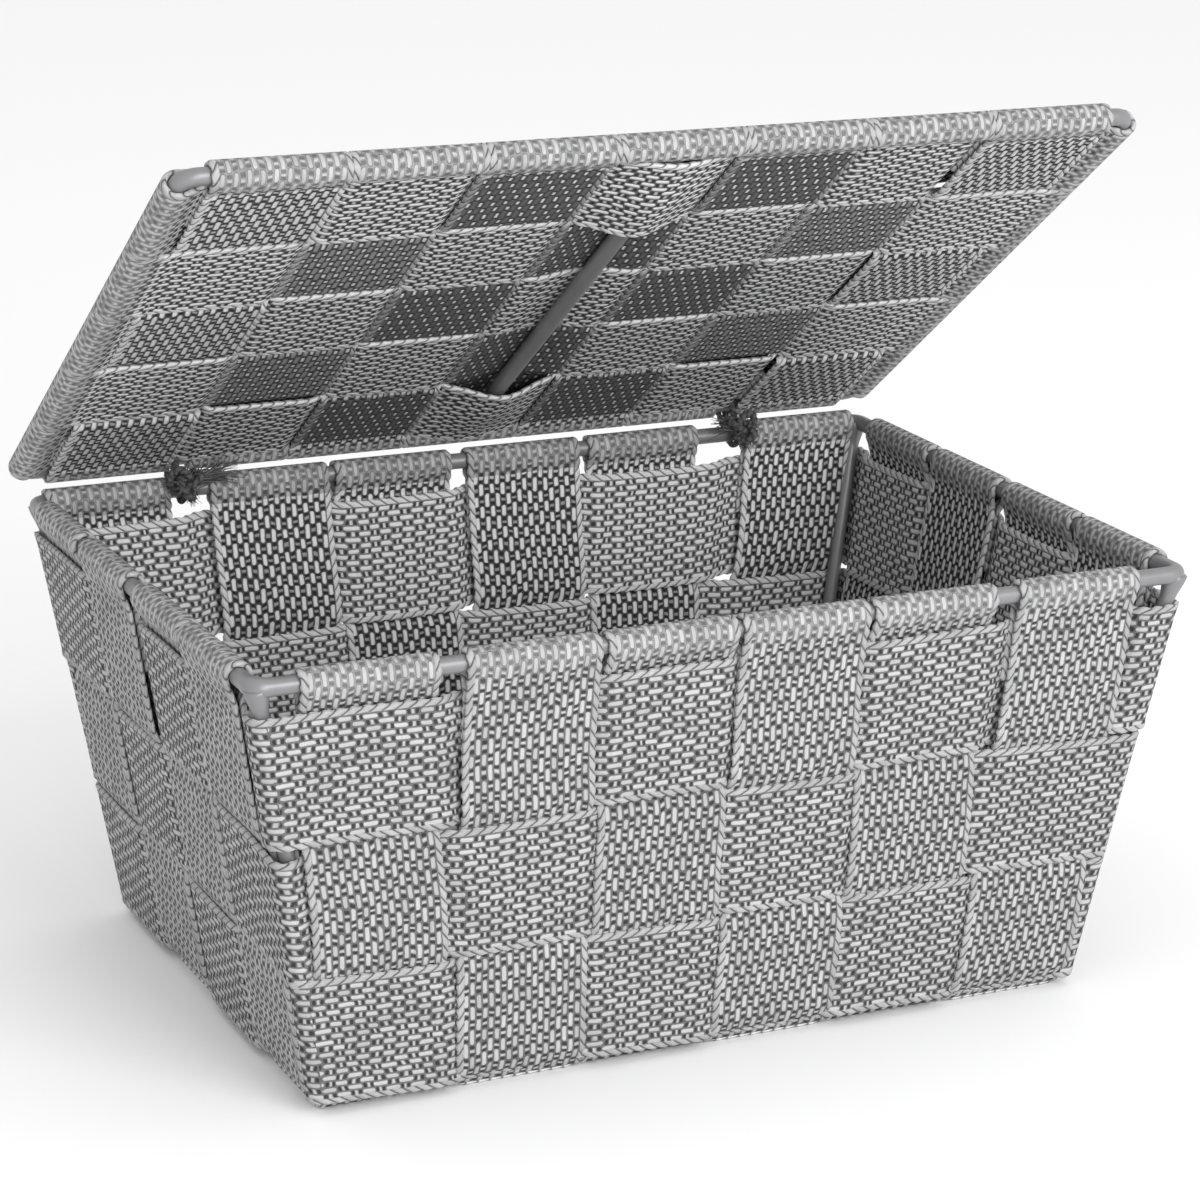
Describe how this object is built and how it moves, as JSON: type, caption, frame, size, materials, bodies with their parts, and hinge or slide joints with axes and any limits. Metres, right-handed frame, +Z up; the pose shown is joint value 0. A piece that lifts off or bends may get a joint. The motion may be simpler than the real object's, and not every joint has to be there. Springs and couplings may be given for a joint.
{
  "type": "storage box",
  "caption": "Tapered storage box of flat webbing woven over a wire frame, with a woven wire-framed lid tied to the back rim by cord so that it hinges open.",
  "frame": {"origin": "on the table, under the middle of the part's bounding box with the lid as it rests part open", "axes": "+Z up, front towards -Y, the long side and the lid's hinge along X"},
  "size_m": [0.2938, 0.2092, 0.2573],
  "materials": {
    "frame_wire": "satin",
    "webbing": "matt, coarse woven",
    "tie_cord": "matt"
  },
  "bodies": {
    "box": {"rim_wire": "frame_wire", "base_wire": "frame_wire", "corner_wire_front_left": "frame_wire", "corner_wire_front_right": "frame_wire", "corner_wire_back_left": "frame_wire", "corner_wire_back_right": "frame_wire", "front_back_strap_1": "webbing", "front_back_strap_2": "webbing", "front_back_strap_3": "webbing", "front_back_strap_4": "webbing", "front_back_strap_5": "webbing", "front_back_strap_6": "webbing", "side_strap_1": "webbing", "side_strap_2": "webbing", "side_strap_3": "webbing", "side_strap_4": "webbing", "upper_band": "webbing", "middle_band": "webbing", "lower_band": "webbing"},
    "lid": {"lid_wire": "frame_wire", "lid_bar": "frame_wire", "lid_front_back_strap_1": "webbing", "lid_front_back_strap_2": "webbing", "lid_front_back_strap_3": "webbing", "lid_front_back_strap_4": "webbing", "lid_front_back_strap_5": "webbing", "lid_front_back_strap_6": "webbing", "lid_front_back_strap_7": "webbing", "lid_side_strap_1": "webbing", "lid_side_strap_2": "webbing", "lid_side_strap_3": "webbing", "lid_side_strap_4": "webbing", "lid_side_strap_5": "webbing", "hinge_tie_left": "tie_cord", "hinge_tie_right": "tie_cord", "hinge_knot_left": "tie_cord", "hinge_knot_right": "tie_cord"}
  },
  "joints": [
    {"name": "lid_hinge", "type": "hinge", "parent": "box", "child": "lid", "pos_m": [0, 0.09289, 0.1285], "axis": [-1, 0, 0], "range_deg": [-36.6, 75.4]}
  ]
}
